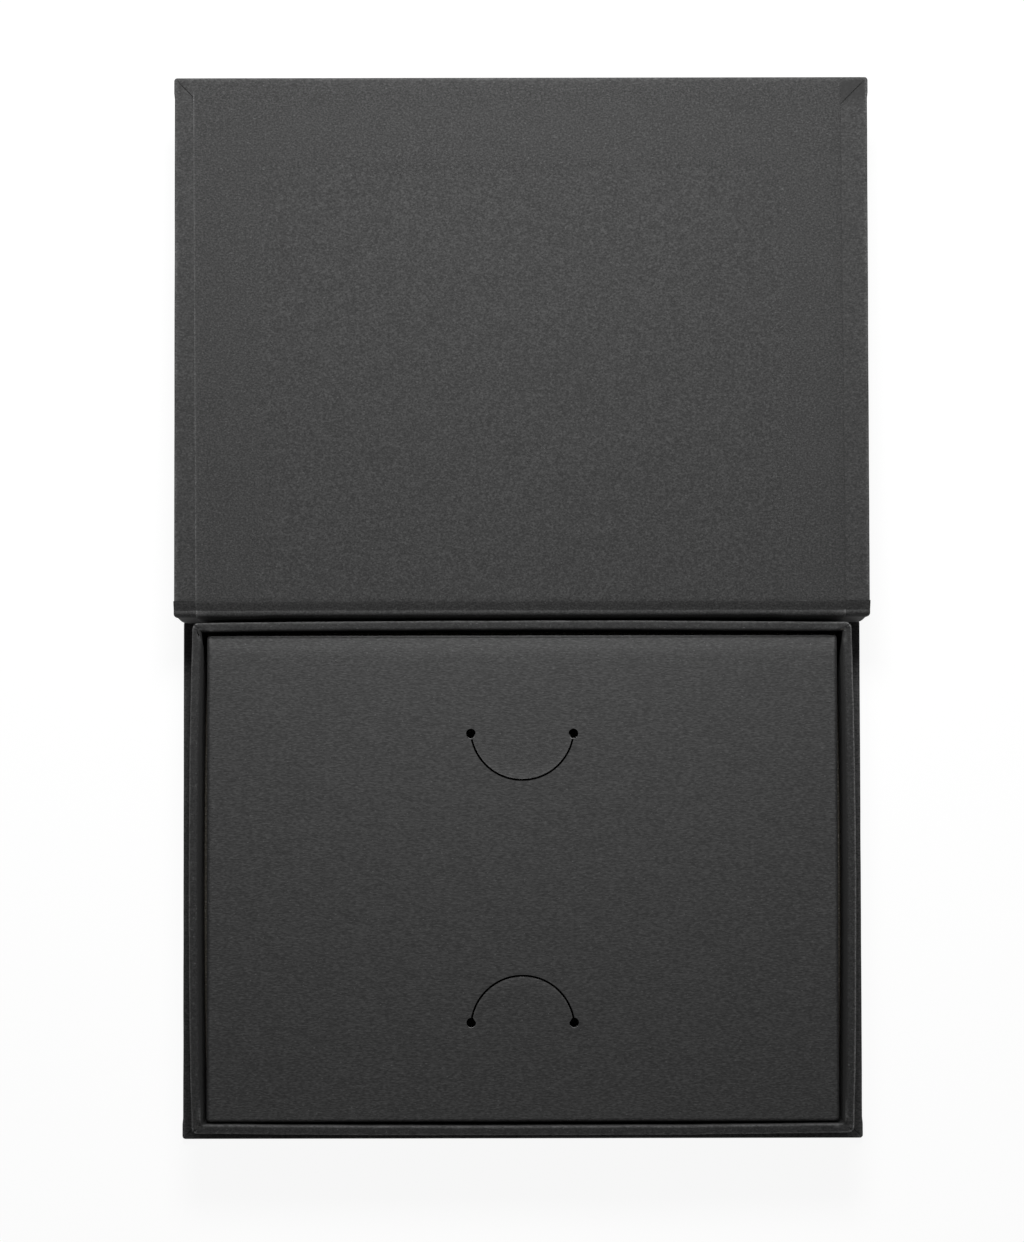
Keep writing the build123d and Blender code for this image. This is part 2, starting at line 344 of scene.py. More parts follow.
def foldedSection(depth, look, offset):
    # Section from the middle of the outside, round the fold, to the inner end of the turn-in:
    # pairs of inset and height, drawn in by offset for the inner face of the paper. The first inset
    # only stands for the middle line, which the piece itself puts in.
    r = look["foldRadius"]
    turn = max(r - offset, 0.04 * mm)
    c = offset + turn
    a = np.linspace(-pi / 2, -pi, 7)
    b = np.linspace(pi, pi / 2, 7)
    flat = np.concatenate([[c + 0.2 * mm, c + 0.5 * mm], np.linspace(c + 1.2 * mm, look["flap"], 12)])
    far = np.array([1.0, 24 * mm, 8 * mm, 2.5 * mm, 0.9 * mm, c])
    inset = np.concatenate([far, c + turn * np.cos(a)[1:], c + turn * np.cos(b), flat])
    height = np.concatenate([offset + 0 * far, c + turn * np.sin(a)[1:], depth - c + turn * np.sin(b),
                             depth - offset + 0 * flat])
    return inset, height


def caseWrapPiece(name, hingeY, freeY, under, over, stop, look, seed):
    # the folded section carried round three sides of the board, from one end of the hinge to the other
    heading = np.sign(freeY - hingeY)
    length = abs(freeY - hingeY)
    depth = over - under
    grids = []
    for offset in (0.0, paper * 0.98):
        inset, height = foldedSection(depth, look, offset)
        # the folded part starts after the stop, where the spine stands on the sheet
        begin = stop * (height[None, 1:] > 0.25 * mm)
        x, s = threeSides(inset[None, 1:], begin, length, halfWidth, look["cornerRadius"], look)
        # the middle of the outside: every line runs in to the spine of the rectangle
        centreX = 0 * x[:, :1]
        centreS = np.minimum(s[:, :1], length - halfWidth)
        x = np.concatenate([centreX, x], axis=1)
        s = np.concatenate([centreS, s], axis=1)
        z = under + height[None, :] + 0 * x
        if offset == 0:
            # the seam of the turn-ins sinks a little
            folded = (inset > 0.6 * mm) * (height > depth / 2)
            z = z - look["seamDepth"] * seamLines(len(x), look)[:, None] * folded[None, :]
        y = hingeY + heading * s
        bend = waves(x, y, seed, 5, 45 * mm)
        edge = inset[None, :] < 1 * mm
        x = x + np.sign(x) * look["edgeWave"] * np.minimum(bend, 0) * edge
        # the folded paper is thickest at the free corners and stands out a little beside them
        beside = smooth(4 * mm, 3.4 * mm, np.abs(length - s)) * edge
        x = x + np.sign(x) * look["cornerBump"] * (beside - 1) * edge
        grids.append(np.stack([x, y, z], axis=-1))
    points, faces = sheetArrays(grids[0], grids[1], joined=(0,))
    inset, height = foldedSection(depth, look, 0.0)
    paleEdge = np.exp(-((inset - look["foldRadius"] * 0.4) / (0.35 * mm)) ** 2) * (height > depth * 0.45)
    lift = 0.5 + 0.5 * waves(grids[0][..., 0], grids[0][..., 1], seed + 5, 7, 22 * mm)
    wearAndPaintedLight = paleEdge[None, :] * lift * look["edgeRub"]
    # the seam is dark, and a square-folded corner is painted darker
    x, y = grids[0][..., 0], grids[0][..., 1]
    onTop = (height > depth * 0.45)[None, :]
    seam = seamLines(len(wearAndPaintedLight), look)[:, None]
    squareDarker = 0 * x
    if name == "lidWrapPaper":
        squareDarker = smooth(-0.2 * mm, 0.2 * mm, y - (freeY - look["square"]))
        squareDarker = squareDarker * (x > halfWidth - look["squareReach"])
        seam = seam * (x <= 0)
    deeper = look["seamTone"] * seam + look["squareTone"] * squareDarker
    wearAndPaintedLight = wearAndPaintedLight * (1 - squareDarker * (inset > 0.5 * mm)) - onTop * (inset > 0.7 * mm) * deeper
    # the base's open strips beside the tray are painted lighter, the right one more: painted light where the
    # tray shades them
    if name == "baseWrapPaper":
        wearAndPaintedLight = wearAndPaintedLight + onTop * (inset > 0.3 * mm) * np.where(x > 0, look["stripPaintedLight"][1], look["stripPaintedLight"][0])
    return makePiece(name, points, faces, coverPaper, np.concatenate([wearAndPaintedLight.ravel(), 0 * wearAndPaintedLight.ravel()]))


lidWrap = caseWrapPiece("lidWrapPaper", lidLow[1], lidHigh[1], lidLow[2], lidHigh[2], 0, caseWrap, 11)
settle(lidWrap, "lid", "cover_paper", "lid_wrap")
baseWrap = caseWrapPiece("baseWrapPaper", baseHigh[1], baseLow[1], baseLow[2], baseHigh[2], spineThick,
                         caseWrap, 23)
settle(baseWrap, "box", "cover_paper", "base_wrap")
print("case wraps ready")


# Hinge: one path that the liner and the turn-ins beside it follow. Level over the lid, a slope down
# over the gap to the spine, a slight rise, and a steep quarter ellipse on to the spine's inner face,
# which leans back a little towards its top.

hingePath = dict(
    slope=1.85 * mm,
    fall=1.0 * mm,
    rise=0.14 * mm,
    lipEnd=2.15 * mm,
    lean=0.5 * mm,
    bend=2.4 * mm,
    spineTop=21.35 * mm,
    spineCorner=0.62 * mm,
)


def spineFace(z, look=hingePath):
    return spineLow[1] + look["lean"] * smooth(6 * mm, 20 * mm, z)


def hingeLine(reach, down, look=hingePath):
    # Points of the path and their normals: reach is the flat run past the lid's edge, in even
    # steps, then the ellipse, then down is how far the last straight run goes.
    u = np.linspace(0, look["lipEnd"], reach + 1)
    part = np.clip(u / look["slope"], 0, 1)
    sink = look["fall"] * (0.65 * part + 0.35 * part * part * (3 - 2 * part))
    sink = sink - look["rise"] * smooth(look["slope"] - 0.15 * mm, look["lipEnd"], u)
    y, z = lidLow[1] - u, boardHigh[2] - sink
    angle = np.linspace(0, pi / 2, 13)[1:]
    foot = z[-1] - look["bend"]
    width = y[-1] - spineFace(foot)
    bendY, bendZ = y[-1] - width * np.sin(angle), z[-1] - look["bend"] * (1 - np.cos(angle))
    lastZ = np.linspace(foot, foot - down, 16)[1:]
    y = np.concatenate([y, bendY, spineFace(lastZ)])
    z = np.concatenate([z, bendZ, lastZ])
    dy, dz = np.gradient(y), np.gradient(z)
    size = np.hypot(dy, dz)
    return y, z, dz / size, -dy / size


# Liner: one sheet inside the lid, across the hinge, over the spine and down its inside

linerSheet = dict(
    skew=0.0058,            # the sheet was laid on a little askew, in radians,
    aside=-0.5 * mm,        # and a little to the left
    columns=150,
    lidRows=120,
    slope=1.9 * mm,
    ripple=0.03 * mm,
    border=0.35 * mm,
    leftRub=0.95,           # how pale the cut left edge is rubbed,
    rightShade=-0.5,         # and how dark the painted shade along the right one is
    shortBy=2.6 * mm,       # where it stops over the foot of the spine
)


def linerPiece(look):
    # A point of the flat sheet (x, s) is turned by the skew, then carried along the path.
    freeY = linerHigh[1]
    lidRun = freeY - lidLow[1]
    down = hingePath["spineTop"] - spineLinerLow[2] - look["shortBy"]
    pathY, pathZ, pathNy, pathNz = hingeLine(16, down)
    lidY = np.linspace(freeY, lidLow[1], look["lidRows"], endpoint=False)
    rowY = np.concatenate([lidY, pathY])[None, :]
    rowZ = np.concatenate([boardHigh[2] + 0 * lidY, pathZ])[None, :]
    ny = np.concatenate([0 * lidY, pathNy])[None, :]
    nz = np.concatenate([1 + 0 * lidY, pathNz])[None, :]
    s = freeY - rowY
    x = np.linspace(-linerHigh[0], linerHigh[0], look["columns"])
    x[1], x[-2] = x[0] + 0.12 * mm, x[-1] - 0.12 * mm
    x[2], x[-3] = x[0] + 0.4 * mm, x[-1] - 0.4 * mm
    x = x[:, None]
    x1 = x + look["aside"] + look["skew"] * (s - lidRun / 2)
    turned = np.clip(1 - s / lidRun, 0, 1)
    y = rowY + look["skew"] * (x * turned)
    # the turn-ins show through as a raised border with a soft inner slope
    inX = smooth(halfWidth - turnIn, halfWidth - turnIn - look["slope"], np.abs(x1))
    inY = smooth(lidHigh[1] - turnIn, lidHigh[1] - turnIn - look["slope"], y)
    lift = paper * (1 - inX * inY)
    lift = lift + look["ripple"] * (waves(x1, y, 31, 6, 55 * mm) - 1) * smooth(0, 4 * mm, s) * (s < lidRun)
    border = np.minimum(np.abs(np.abs(x) - linerHigh[0]), s + 0 * x)
    press = 0.55 + 0.45 * smooth(0, look["border"], border)
    grids = [np.stack([x1, y + ny * (lift + w), rowZ + nz * (lift + w)], axis=-1)
             for w in (paper * 0.98 * press, 0.01 * mm)]
    points, faces = sheetArrays(grids[0], grids[1])
    # the left edge is rubbed pale; the right one is painted darker, painted shade beside its own thickness
    patch = 0.6 + 0.4 * waves(x1, y, 37, 6, 18 * mm)
    tone = np.where(x < 0, look["leftRub"], look["rightShade"])
    wearAndPaintedLight = np.exp(-border / (0.14 * mm)) * patch * tone * (s > 0.3 * mm)
    # frayed at both ends of the slope to the spine
    past = s - lidRun
    fray = smooth(1.3 * mm, 1.8 * mm, past) * smooth(3.2 * mm, 2.4 * mm, past)
    wearAndPaintedLight = wearAndPaintedLight + np.exp(-border / (0.3 * mm)) * fray
    return makePiece("linerPaperSheet", points, faces, linerPaper,
                     np.concatenate([wearAndPaintedLight.ravel(), 0.6 * wearAndPaintedLight.ravel()]), sharp=50)


liner = linerPiece(linerSheet)
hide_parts("lid_liner", "hinge_liner", "spine_liner")
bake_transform(liner)
print("liner ready")


# Hinge paper: the cover where it bends, from the back of the spine to the underside of the lid,
# and its two turned-in ends, which run from under the liner over the spine's ends

hingePaper = dict(rows=15, columns=120, top=1.75 * mm, slack=0.12 * mm, under=2.0 * mm)


def hingePaperPiece(look):
    # a slack strip: a straight run from spine to lid, with a half sine of slack hanging below it
    t = np.linspace(0, 1, look["rows"])[None, :]
    x = np.linspace(-halfWidth, halfWidth, look["columns"])[:, None]
    y0, z0 = spineHigh[1], spineHigh[2] - look["top"]
    y1, z1 = lidLow[1], lidLow[2] + paper / 2
    length = np.hypot(y1 - y0, z1 - z0)
    ny, nz = (z0 - z1) / length, (y1 - y0) / length
    sag = -look["slack"] * np.sin(pi * t)
    y = y0 + (y1 - y0) * t + ny * sag + 0 * x
    z = z0 + (z1 - z0) * t + nz * sag + 0 * x
    grids = [np.stack([x + 0 * t, y + ny * w, z + nz * w], axis=-1) for w in (paper / 2, -paper / 2)]
    points, faces = sheetArrays(grids[0], grids[1])
    return makePiece("hingeWrapPaper", points, faces, coverPaper, sharp=50)


def turnInPiece(name, side, look):
    # the path again, one paper lower than the liner, with its outer end following the spine's corner
    pathY, pathZ, ny, nz = (row[None, :] for row in hingeLine(16, 3 * mm))
    corner = hingePath["spineCorner"]
    behind = np.clip(corner - (pathY - spineFace(pathZ)), 0, corner)
    far = halfWidth - corner + np.sqrt(corner ** 2 - behind ** 2)
    near = linerHigh[0] - look["under"]
    t = np.linspace(0, 1, 24)[:, None]
    x = side * (near + (far - near) * t)
    edge = 0.04 * mm * smooth(0.97, 1.0, t)
    grids = [np.stack([x, pathY + ny * (w - edge), pathZ + nz * (w - edge)], axis=-1)
             for w in (paper, 0.02 * mm)]
    points, faces = sheetArrays(grids[0], grids[1])
    return makePiece(name, points, faces, coverPaper, sharp=50)


hingeParts = [hingePaperPiece(hingePaper), turnInPiece("hingeTurnInLeft", -1, hingePaper),
              turnInPiece("hingeTurnInRight", 1, hingePaper)]
for part in hingeParts:
    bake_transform(part)
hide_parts("hinge_wrap")
print("hinge paper ready")


# Spine: its board and the cover paper round it, with rounded ends

def spinePlan(inset, z, look=hingePath):
    # a rounded rectangle between the leaning inner face and the back, drawn in by inset
    back = spineHigh[1] + 0 * z
    front = spineFace(z) + 0 * inset
    r = look["spineCorner"]
    turn = r - inset
    a = np.linspace(0, pi / 2, 8)[:, None]
    e = np.linspace(-1, 1, 90)[1:-1, None]
    far = halfWidth - r
    x = [e * far, far + turn * np.sin(a), far + turn * np.cos(a), -e * far,
         -far - turn * np.sin(a), -far - turn * np.cos(a)]
    y = [front + inset + 0 * e, front + r - turn * np.cos(a), back - r + turn * np.sin(a),
         back - inset + 0 * e, back - r + turn * np.cos(a), front + r - turn * np.sin(a)]
    return np.concatenate([p + 0 * inset for p in x]), np.concatenate([p + 0 * inset for p in y])


def spineWrapPiece():
    # up the spine all round, over a small fold, and in on top by half a millimetre
    r = 0.3 * mm
    top = hingePath["spineTop"]
    grids = []
    for offset in (0.0, paper * 0.98):
        turn = r - offset
        a = np.linspace(0, pi / 2, 6)
        inset = np.concatenate([np.full(12, offset), offset + turn * (1 - np.cos(a)), [0.5 * mm]])
        height = np.concatenate([np.linspace(spineLow[2], top - r, 13)[:-1], top - r + turn * np.sin(a),
                                 [top - offset]])
        x, y = spinePlan(inset[None, :], height[None, :])
        grids.append(np.stack([x, y, height[None, :] + 0 * x], axis=-1))
    points, faces = sheetArrays(grids[0], grids[1], closed=True)
    return makePiece("spineWrapPaper", points, faces, coverPaper, sharp=40)


def spineCorePiece():
    # the board: the same plan one paper in, closed to its middle line at both ends
    inset = np.full(14, paper)
    height = np.linspace(spineLow[2] + 0.02 * mm, hingePath["spineTop"] - paper * 1.2, 14)
    x, y = spinePlan(inset[None, :], height[None, :])
    middle = (y.min(axis=0) + y.max(axis=0)) / 2
    x = np.concatenate([x[:, :1] * 0, x, x[:, -1:] * 0], axis=1)
    y = np.concatenate([y[:, :1] * 0 + middle[0], y, y[:, -1:] * 0 + middle[-1]], axis=1)
    z = np.concatenate([height[:1], height, height[-1:]])[None, :] + 0 * x
    faces = gridFaces(x.shape[0], x.shape[1], True, 0, False)
    points = np.stack([x, y, z], axis=-1).reshape(-1, 3)
    return makePiece("spineBoardCore", points, faces, greyboard, sharp=40)


settle(spineWrapPiece(), "box", "cover_paper", "spine_wrap")
settle(spineCorePiece(), "box", "greyboard", "spine_board")
print("spine ready")


# Tray wrap: round the outside of the walls, over the rim and down inside

trayWrap = dict(
    rimRadius=0.45 * mm,
    cornerRadius=1.15 * mm,
    creaseDepth=0.24 * mm,
    crinkle=0.09 * mm,
    sideBow=0.6 * mm,
    endBow=0.35 * mm,
    wall=1.65 * mm,
    down=15.0 * mm,
    foot=12.0 * mm,
    alongSide=110,
    alongEnd=140,
    cornerSteps=11,
    wobble=0.05 * mm,
    outerRubAndHighlight=0.6,           # how far the rim's outer edge is painted paler, rubbed wear with painted highlight,
    rightRubAndHighlight=0.6,           # and how much more along the right
    frontRub=0.15,          # and along the front
    innerRubAndHighlight=0.12,          # the same for its inner edge,
    innerFrontRubAndHighlight=0.9,
    besideRubAndHighlight=0.5,          # beside the folded corners
    foldTone=0.8,           # and how dark their folds are
)


def bowedPlan(inset, look):
    # Plan of the tray drawn in by inset: four bowed walls, a parabola of bow along each,
    # joined by quarter-turn corners that become mitres past their radius.
    halfX = trayHigh[0] - look["sideBow"]
    y0, y1 = trayLow[1] + look["endBow"], trayHigh[1] - look["endBow"]
    midY, halfY = (y0 + y1) / 2, (y1 - y0) / 2
    m = np.maximum(look["cornerRadius"], inset)
    turn = np.maximum(look["cornerRadius"] - inset, 0)
    e = np.linspace(-1, 1, look["alongEnd"])[1:-1, None]
    w = np.linspace(-1, 1, look["alongSide"])[1:-1, None]
    a = np.linspace(0, pi / 2, look["cornerSteps"])[:, None]
    endBulge = look["endBow"] * (1 - e ** 2)
    sideBulge = look["sideBow"] * (1 - w ** 2)
    x = [e * (halfX - m), (halfX - m) + turn * np.sin(a), halfX - inset + sideBulge,
         (halfX - m) + turn * np.cos(a), -e * (halfX - m), -(halfX - m) - turn * np.sin(a),
         -(halfX - inset) - sideBulge, -(halfX - m) - turn * np.cos(a)]
    y = [-(halfY - inset) - endBulge, -(halfY - m) - turn * np.cos(a), w * (halfY - m),
         (halfY - m) + turn * np.sin(a), halfY - inset + endBulge, (halfY - m) + turn * np.cos(a),
         -w * (halfY - m), -(halfY - m) - turn * np.sin(a)]
    return np.concatenate([p + 0 * inset for p in x]), midY + np.concatenate([p + 0 * inset for p in y])


def rimSection(look, offset):
    # Section from under the floor, up the outside, over the rim and down the inside:
    # pairs of inset and height, drawn in by offset for the inner face of the paper.
    foot, top = trayLow[2], trayHigh[2]
    turn = max(look["rimRadius"] - offset, 0.1 * mm)
    c = offset + turn
    inner = look["wall"] - c
    a = np.linspace(-pi / 2, -pi, 6)
    b = np.linspace(pi, pi / 2, 8)
    d = np.linspace(pi / 2, 0, 8)
    inset = np.concatenate([[look["foot"]], c + turn * np.cos(a), [offset] * 5, c + turn * np.cos(b),
                            [(c + inner) / 2], inner + turn * np.cos(d), [look["wall"] - offset] * 6])
    rise = np.linspace(foot + c, top - c, 7)[1:-1]
    fall = np.linspace(top - c, top - look["down"], 7)[1:]
    height = np.concatenate([[foot + offset], foot + c + turn * np.sin(a), rise, top - c + turn * np.sin(b),
                             [top - offset], top - c + turn * np.sin(d), fall])
    return inset, height


def cornerLines(look):
    # which lines of the plan run through the middle of its four corners
    first = look["alongEnd"] - 2 + look["cornerSteps"] // 2
    second = first + look["cornerSteps"] + look["alongSide"] - 2
    half = look["alongEnd"] + look["alongSide"] - 4 + 2 * look["cornerSteps"]
    return [first, second, first + half, second + half], 2 * half


def trayWrapPiece(look):
    corners, count = cornerLines(look)
    lines = np.arange(count)
    away = np.min([np.abs(lines - k) for k in corners], axis=0)[:, None]
    grids = []
    for offset in (0.0, paper * 0.97):
        inset, height = rimSection(look, offset)
        x, y = bowedPlan(inset[None, :], look)
        z = height[None, :] + 0 * x
        # the folded-up walls are not dead true: the top of each wall wanders a little
        rise = smooth(trayLow[2], trayHigh[2], z)
        x = x + np.sign(x) * look["wobble"] * (waves(x, y, 41, 5, 30 * mm) - 1) * rise
        y = y + np.sign(y) * look["wobble"] * (waves(x, y, 43, 5, 30 * mm) - 1) * rise
        onRim = height[None, :] > trayHigh[2] - 0.8 * mm
        z = z + 0.04 * mm * (waves(x, y, 47, 6, 24 * mm) - 1) * onRim
        # at each corner the rim paper is folded to a mitre: a sunk line, with crinkles beside it
        if offset == 0:
            # (past the corner's radius its lines run together, so there they count as one line)
            gathered = smooth(0.7, 1, inset / look["cornerRadius"]) * (look["cornerSteps"] - 1) / 2
            away = np.maximum(away - gathered[None, :], 0)
            crease = np.exp(-(away / 1.1) ** 2) - 0.4 * np.exp(-((away - 3) / 1.5) ** 2)
            crinkles = waves(x, y, 59, 7, 2.4 * mm) * np.exp(-(away / 7.0) ** 2)
            z = z - (look["creaseDepth"] * crease + look["crinkle"] * (1 + crinkles) * (away < 12)) * onRim
        grids.append(np.stack([x, y, z], axis=-1))
    points, faces = sheetArrays(grids[0], grids[1], closed=True)
    inset, height = rimSection(look, 0.0)
    x, y = grids[0][..., 0], grids[0][..., 1]
    rim = height > trayHigh[2] - 0.5 * mm
    outerEdge = np.exp(-((inset - 0.12 * mm) / (0.16 * mm)) ** 2) * rim
    innerEdge = np.exp(-((inset - look["wall"]) / (0.2 * mm)) ** 2) * rim
    patch = 0.7 + 0.3 * waves(x, y, 53, 7, 16 * mm)
    # painted paler most along the right and front outer edges, and along the front's inner edge: rubbed wear
    # with painted highlight
    atRight, atFront = smooth(55 * mm, 61 * mm, x), smooth(-40 * mm, -46 * mm, y)
    outerRubAndHighlight = look["outerRubAndHighlight"] + look["rightRubAndHighlight"] * atRight + look["frontRub"] * atFront
    innerRubAndHighlight = look["innerRubAndHighlight"] + look["innerFrontRubAndHighlight"] * smooth(-40 * mm, -45 * mm, y)
    wearAndPaintedLight = (outerEdge[None, :] * outerRubAndHighlight + innerEdge[None, :] * innerRubAndHighlight) * patch
    # at the corners the folded lines are dark, and the paper beside them is painted paler: rubbed wear with
    # painted highlight
    beside = np.exp(-((away - 2) / 1.2) ** 2) * (outerEdge + 0.4)
    wearAndPaintedLight = wearAndPaintedLight + (look["besideRubAndHighlight"] * beside - look["foldTone"] * np.exp(-(away / 0.9) ** 2)) * rim
    return makePiece("trayWrapPaper", points, faces, shadedTrayCover,
                     np.concatenate([wearAndPaintedLight.ravel(), 0 * wearAndPaintedLight.ravel()]), sharp=40)


def trayBoardPiece(look):
    # floor and walls as one section carried round the plan: in the middle underneath, out to the
    # wall, up, over, down inside, and back to the middle on top of the floor
    outer, inner = paper + 0.14 * mm, look["wall"] - paper
    low, top = trayLow[2] + paper, trayHigh[2] - paper * 1.6
    floorTop = low + inner - outer
    inset = np.array([outer, outer, outer, inner, inner, inner])
    height = np.array([low, low, top, top, floorTop, floorTop])
    x, y = bowedPlan(inset[None, :], look)
    x[:, 0] = 0
    x[:, -1] = 0
    y[:, 0] = (trayLow[1] + trayHigh[1]) / 2
    y[:, -1] = y[:, 0]
    z = height[None, :] + 0 * x
    faces = gridFaces(x.shape[0], x.shape[1], True, 0, False)
    points = np.stack([x, y, z], axis=-1).reshape(-1, 3)
    return makePiece("trayBoardBlank", points, faces, greyboard, sharp=40)


def stayPiece(look):
    # a strip of kraft paper bent round each corner, between the board and the cover
    corners, count = cornerLines(look)
    allPoints, allFaces, start = [], [], 0
    for k in corners:
        lines = np.arange(k - 15, k + 16) % count
        grids = []
        for inset in (paper + 0.01 * mm, paper + 0.12 * mm):
            x, y = bowedPlan(np.full((1, 8), inset), look)
            z = np.linspace(trayLow[2] + 0.4 * mm, trayHigh[2] - 0.6 * mm, 8)[None, :] + 0 * x
            grids.append(np.stack([x, y, z], axis=-1)[lines])
        points, faces = sheetArrays(grids[0], grids[1])
        allPoints.append(points)
        allFaces.append(faces + start)
        start += len(points)
    return makePiece("cornerStayPaper", np.concatenate(allPoints), np.concatenate(allFaces), kraftPaper)


settle(trayWrapPiece(trayWrap), "box", "cover_paper", "tray_wrap")
settle(trayBoardPiece(trayWrap), "box", "greyboard", "tray_board")
settle(stayPiece(trayWrap), "box", "stay_paper", "corner_stays")
print("tray ready")


# Platform: card folded down on four sides, softly crowned, cut with two half-moons

platformSheet = dict(
    card=0.4 * mm,
    foldRadius=0.95 * mm,
    backFoldRadius=0.6 * mm,
    cornerRadius=0.75 * mm,
    trim=0.2 * mm,
    crown=0.1 * mm,
    roll=0.4 * mm,
    rollRun=4.0 * mm,
    alongEnd=170,
    alongSide=130,
    cornerSteps=9,
    topRows=34,
    slit=0.38 * mm,
    holeRadius=0.9 * mm,
    chord=19.3 * mm,
    tabDepth=8.75 * mm,
    tabLift=0.12 * mm,
    lipWidth=0.2 * mm,
    lipRise=0.07 * mm,
    lipHighlight=1.2,
)


def platformPlan(side, back, halfX, halfY, look):
    # Plan of the platform, drawn in by side at the front and sides and by back at the back:
    # straight runs joined by quarter turns that become mitres past the corner radius.
    r = look["cornerRadius"]
    m, mBack = np.maximum(r, side), np.maximum(r, back)
    e = np.linspace(-1, 1, look["alongEnd"])[1:-1, None]
    w = np.linspace(-1, 1, look["alongSide"])[1:-1, None]
    a = np.linspace(0, pi / 2, look["cornerSteps"])[:, None]
    wide, low, high = halfX - m, -(halfY - m), halfY - mBack
    run = low + (high - low) * (w + 1) / 2
    x = [e * wide, wide + (m - side) * np.sin(a), halfX - side + 0 * w, wide + (m - side) * np.cos(a),
         -e * wide, -wide - (m - side) * np.sin(a), -(halfX - side) + 0 * w, -wide - (m - side) * np.cos(a)]
    y = [-(halfY - side) + 0 * e, low - (m - side) * np.cos(a), run, high + (mBack - back) * np.sin(a),
         halfY - back + 0 * e, high + (mBack - back) * np.cos(a), run[::-1], low - (m - side) * np.sin(a)]
    x = np.concatenate([p + 0 * side for p in x])
    y = np.concatenate([p + 0 * side for p in y])
    atBack = np.concatenate([0 * e, 0 * a, 0 * w, np.sin(a) ** 2, 1 + 0 * e, np.cos(a) ** 2, 0 * w, 0 * a])
    return x, y, atBack


def platformPiece(look):
    # Closed plan carried up the skirt, round the fold and in to the middle of the top;
    # in front of the back fold the card rolls over softly, by a squared fall.
    halfX = platformHigh[0] - look["trim"]
    y0, y1 = platformLow[1] - look["trim"] / 2, platformHigh[1]
    midY, halfY = (y0 + y1) / 2, (y1 - y0) / 2
    bottom, top = platformLow[2], platformHigh[2]
    skirt = np.linspace(0, 1, 6)[:-1]
    bend = np.linspace(0, pi / 2, 12)
    inward = (np.arange(look["topRows"]) + 1) / look["topRows"]
    rise = np.concatenate([skirt, 1 + 0 * bend, 1 + 0 * inward])[None, :]
    fold = np.concatenate([0 * skirt, bend, pi / 2 + 0 * inward])[None, :]
    shrink = 1 - np.concatenate([0 * skirt, 0 * bend, inward])[None, :]
    grids = []
    for offset in (0.0, look["card"]):
        radius = look["foldRadius"] - offset
        backRadius = look["backFoldRadius"] - offset
        side = offset + radius * (1 - np.cos(fold))
        back = offset + backRadius * (1 - np.cos(fold))
        x, y, atBack = platformPlan(side, back, halfX, halfY, look)
        r = radius + (backRadius - radius) * atBack
        centreY = (back - side) / -2
        x = x * shrink
        y = centreY + (y - centreY) * shrink
        z = bottom + (top - offset - r - bottom) * rise + r * np.sin(fold)
        dome = np.clip((1 - (x / halfX) ** 2) * (1 - (y / halfY) ** 2), 0, 1)
        z = z - look["crown"] * (1 - dome) * smooth(0.6 * pi / 2, pi / 2, fold)
        near = np.clip(1 - (halfY - y) / look["rollRun"], 0, 1)
        z = z - look["roll"] * near ** 2 * smooth(0, pi / 2, fold)
        grids.append(np.stack([x, midY + y, z], axis=-1))
    points, faces = sheetArrays(grids[0], grids[1], closed=True, joined=(grids[0].shape[1] - 1,))
    return makePiece("platformCardSheet", points, faces, platformCard, sharp=40)


def crownLevel(x, y, look):
    # height of the crowned top: a product of two parabolas, full in the middle and none at the edges
    midY, halfY = (platformLow[1] + platformHigh[1]) / 2, (platformHigh[1] - platformLow[1]) / 2
    dome = (1 - (x / platformHigh[0]) ** 2) * (1 - ((y - midY) / halfY) ** 2)
    return platformHigh[2] - look["crown"] * (1 - dome)


def rootLine(side):
    return tabRootTop if side > 0 else tabRootLow


def tabArc(side, shift, count, look):
    # The arc of a half-moon, from one stop hole round to the other: chord and depth give its radius,
    # which shift makes larger or smaller about the same centre.
    full = (look["chord"] ** 2 / 4 + look["tabDepth"] ** 2) / (2 * look["tabDepth"])
    radius = full + shift
    centreY = rootLine(side) - side * (look["tabDepth"] - full)
    spread = np.arccos(np.clip((full - look["tabDepth"]) / radius, -1, 1))
    a = np.linspace(-spread, spread, count)
    return radius * np.sin(a), centreY - side * radius * np.cos(a)


def slitCutter(side, look):
    # the whole half-moon out to the slit's outer edge, and a round peg at each end of it
    top, bottom = platformHigh[2] + 1 * mm, platformHigh[2] - 2 * mm
    cutters = [(np.stack(tabArc(side, look["slit"] / 2, 60, look), axis=-1), "halfMoonCut")]
    a = np.linspace(0, 2 * pi, 33)[:-1]
    for end in (-1, 1):
        x = end * look["chord"] / 2 + look["holeRadius"] * np.cos(a)
        y = rootLine(side) + look["holeRadius"] * np.sin(a)
        cutters.append((np.stack([x, y], axis=-1), "stopHoleCut"))
    solids = []
    for outline, name in cutters:
        body = bmesh.new()
        low = [body.verts.new((px, py, bottom)) for px, py in outline]
        face = body.faces.new(low)
        made = bmesh.ops.extrude_face_region(body, geom=[face])
        raised = [v for v in made["geom"] if isinstance(v, bmesh.types.BMVert)]
        bmesh.ops.translate(body, verts=raised, vec=(0, 0, top - bottom))
        bmesh.ops.recalc_face_normals(body, faces=body.faces)
        mesh = bpy.data.meshes.new(name)
        body.to_mesh(mesh)
        body.free()
        solid = bpy.data.objects.new(name, mesh)
        bpy.context.scene.collection.objects.link(solid)
        solids.append(solid)
    return solids


